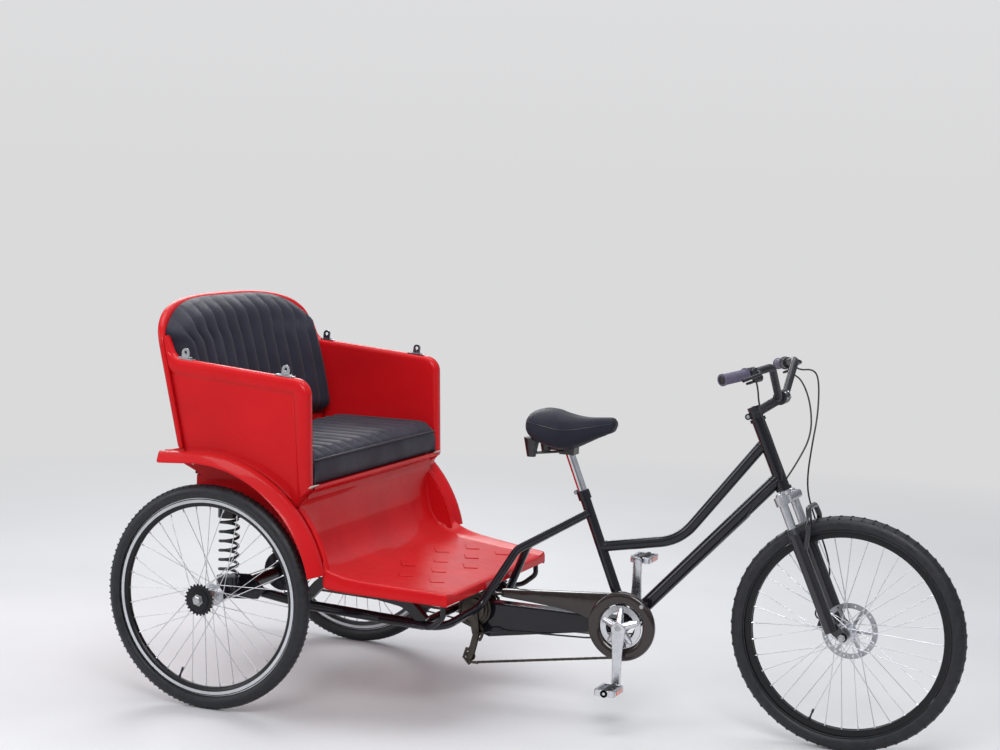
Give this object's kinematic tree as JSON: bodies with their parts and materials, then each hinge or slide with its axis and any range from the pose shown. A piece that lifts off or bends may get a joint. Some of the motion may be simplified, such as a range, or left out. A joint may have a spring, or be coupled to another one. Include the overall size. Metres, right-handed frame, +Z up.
{
  "type": "cycle rickshaw",
  "caption": "Three-wheeled pedal cab: red moulded passenger bench over the rear axle, and a bicycle front with saddle, crank, chain drive and steered fork.",
  "frame": {"origin": "on the floor, under the middle of the vehicle's length and width", "axes": "+X forward along the vehicle, +Y to the rider's left, +Z up"},
  "size_m": [2.4299, 1.126, 1.184],
  "materials": {
    "body_red": "gloss gel coat over glass-fibre moulding",
    "cushion_vinyl": "soft grained vinyl",
    "saddle_vinyl": "satin vinyl",
    "frame_paint": "gloss enamel on welded tube",
    "tyre_rubber": "moulded rubber",
    "rim_alloy": "machined band on a black rim",
    "rim_black": "satin black",
    "spoke_steel": "bright drawn wire",
    "rotor_steel": "ground steel",
    "fork_silver": "satin cast alloy",
    "fork_black": "satin paint",
    "bar_black": "satin black",
    "grip_rubber": "moulded rubber",
    "chrome": "polished chrome",
    "crank_alloy": "polished forged alloy",
    "pedal_black": "moulded",
    "chain_steel": "oiled steel",
    "guard_smoke": "smoked plastic",
    "bracket_steel": "stainless strip",
    "spring_steel": "painted coil",
    "caliper_grey": "satin anodised",
    "cable_black": "plastic outer casing"
  },
  "bodies": {
    "frame": {"axle_housing": "frame_paint", "back_cushion": "cushion_vinyl", "back_panel": "body_red", "body_bearers": "frame_paint", "bottom_bracket": "frame_paint", "canopy_brackets": "bracket_steel", "chain_guard": "guard_smoke", "cross_tube": "frame_paint", "derailleur": "chain_steel", "down_tube": "frame_paint", "fender_left": "body_red", "fender_right": "body_red", "floor_pan": "body_red", "frame_cables": "cable_black", "front_chain": "chain_steel", "head_tube": "frame_paint", "jackshaft": "chain_steel", "rear_beam": "frame_paint", "rear_chain": "chain_steel", "rear_sprocket": "chain_steel", "saddle": "saddle_vinyl", "saddle_frame": "spring_steel", "seat_cushion": "cushion_vinyl", "seat_pan": "body_red", "seat_post": "chrome", "seat_tube": "frame_paint", "side_panel_left": "body_red", "side_panel_right": "body_red", "side_rail_left": "frame_paint", "side_rail_right": "frame_paint", "spring_arch": "frame_paint", "springs": "spring_steel", "top_tube": "frame_paint", "tray_hoops": "frame_paint"},
    "steering": {"fork_upper": "fork_silver", "fork_lowers": "fork_black", "stem": "bar_black", "handlebar": "bar_black", "grips": "grip_rubber", "brake_levers": "bar_black", "front_caliper": "caliper_grey", "front_brake_hose": "cable_black", "steering_cables": "cable_black"},
    "front_wheel": {"front_tyre": "tyre_rubber", "front_rim": "rim_black", "front_hub": "spoke_steel", "front_rotor": "rotor_steel"},
    "wheel_right": {"rear_tyre_right": "tyre_rubber", "rear_rim_right": "rim_alloy", "rear_hub_right": "spoke_steel"},
    "wheel_left": {"rear_tyre_left": "tyre_rubber", "rear_rim_left": "rim_alloy", "rear_hub_left": "spoke_steel"},
    "crank": {"crankset": "crank_alloy"},
    "pedal_right": {"pedal_right": "pedal_black"},
    "pedal_left": {"pedal_left": "pedal_black"}
  },
  "joints": [
    {"name": "steering_turn", "type": "hinge", "parent": "frame", "child": "steering", "pos_m": [0.85999, 0, 0.32465], "axis": [-0.4067, 0, 0.9135], "range_deg": [-50, 50]},
    {"name": "front_wheel_spin", "type": "hinge", "parent": "steering", "child": "front_wheel", "pos_m": [0.881, 0, 0.334], "axis": [0, 1, 0], "continuous": true},
    {"name": "wheel_right_spin", "type": "hinge", "parent": "frame", "child": "wheel_right", "pos_m": [-0.885, -0.495, 0.33], "axis": [0, 1, 0], "continuous": true},
    {"name": "wheel_left_spin", "type": "hinge", "parent": "frame", "child": "wheel_left", "pos_m": [-0.885, 0.495, 0.33], "axis": [0, 1, 0], "continuous": true},
    {"name": "crank_spin", "type": "hinge", "parent": "frame", "child": "crank", "pos_m": [0.233, 0, 0.288], "axis": [0, 1, 0], "continuous": true},
    {"name": "pedal_right_spin", "type": "hinge", "parent": "crank", "child": "pedal_right", "pos_m": [0.233, -0.1405, 0.118], "axis": [0, 1, 0], "continuous": true},
    {"name": "pedal_left_spin", "type": "hinge", "parent": "crank", "child": "pedal_left", "pos_m": [0.233, 0.1405, 0.458], "axis": [0, 1, 0], "continuous": true}
  ]
}
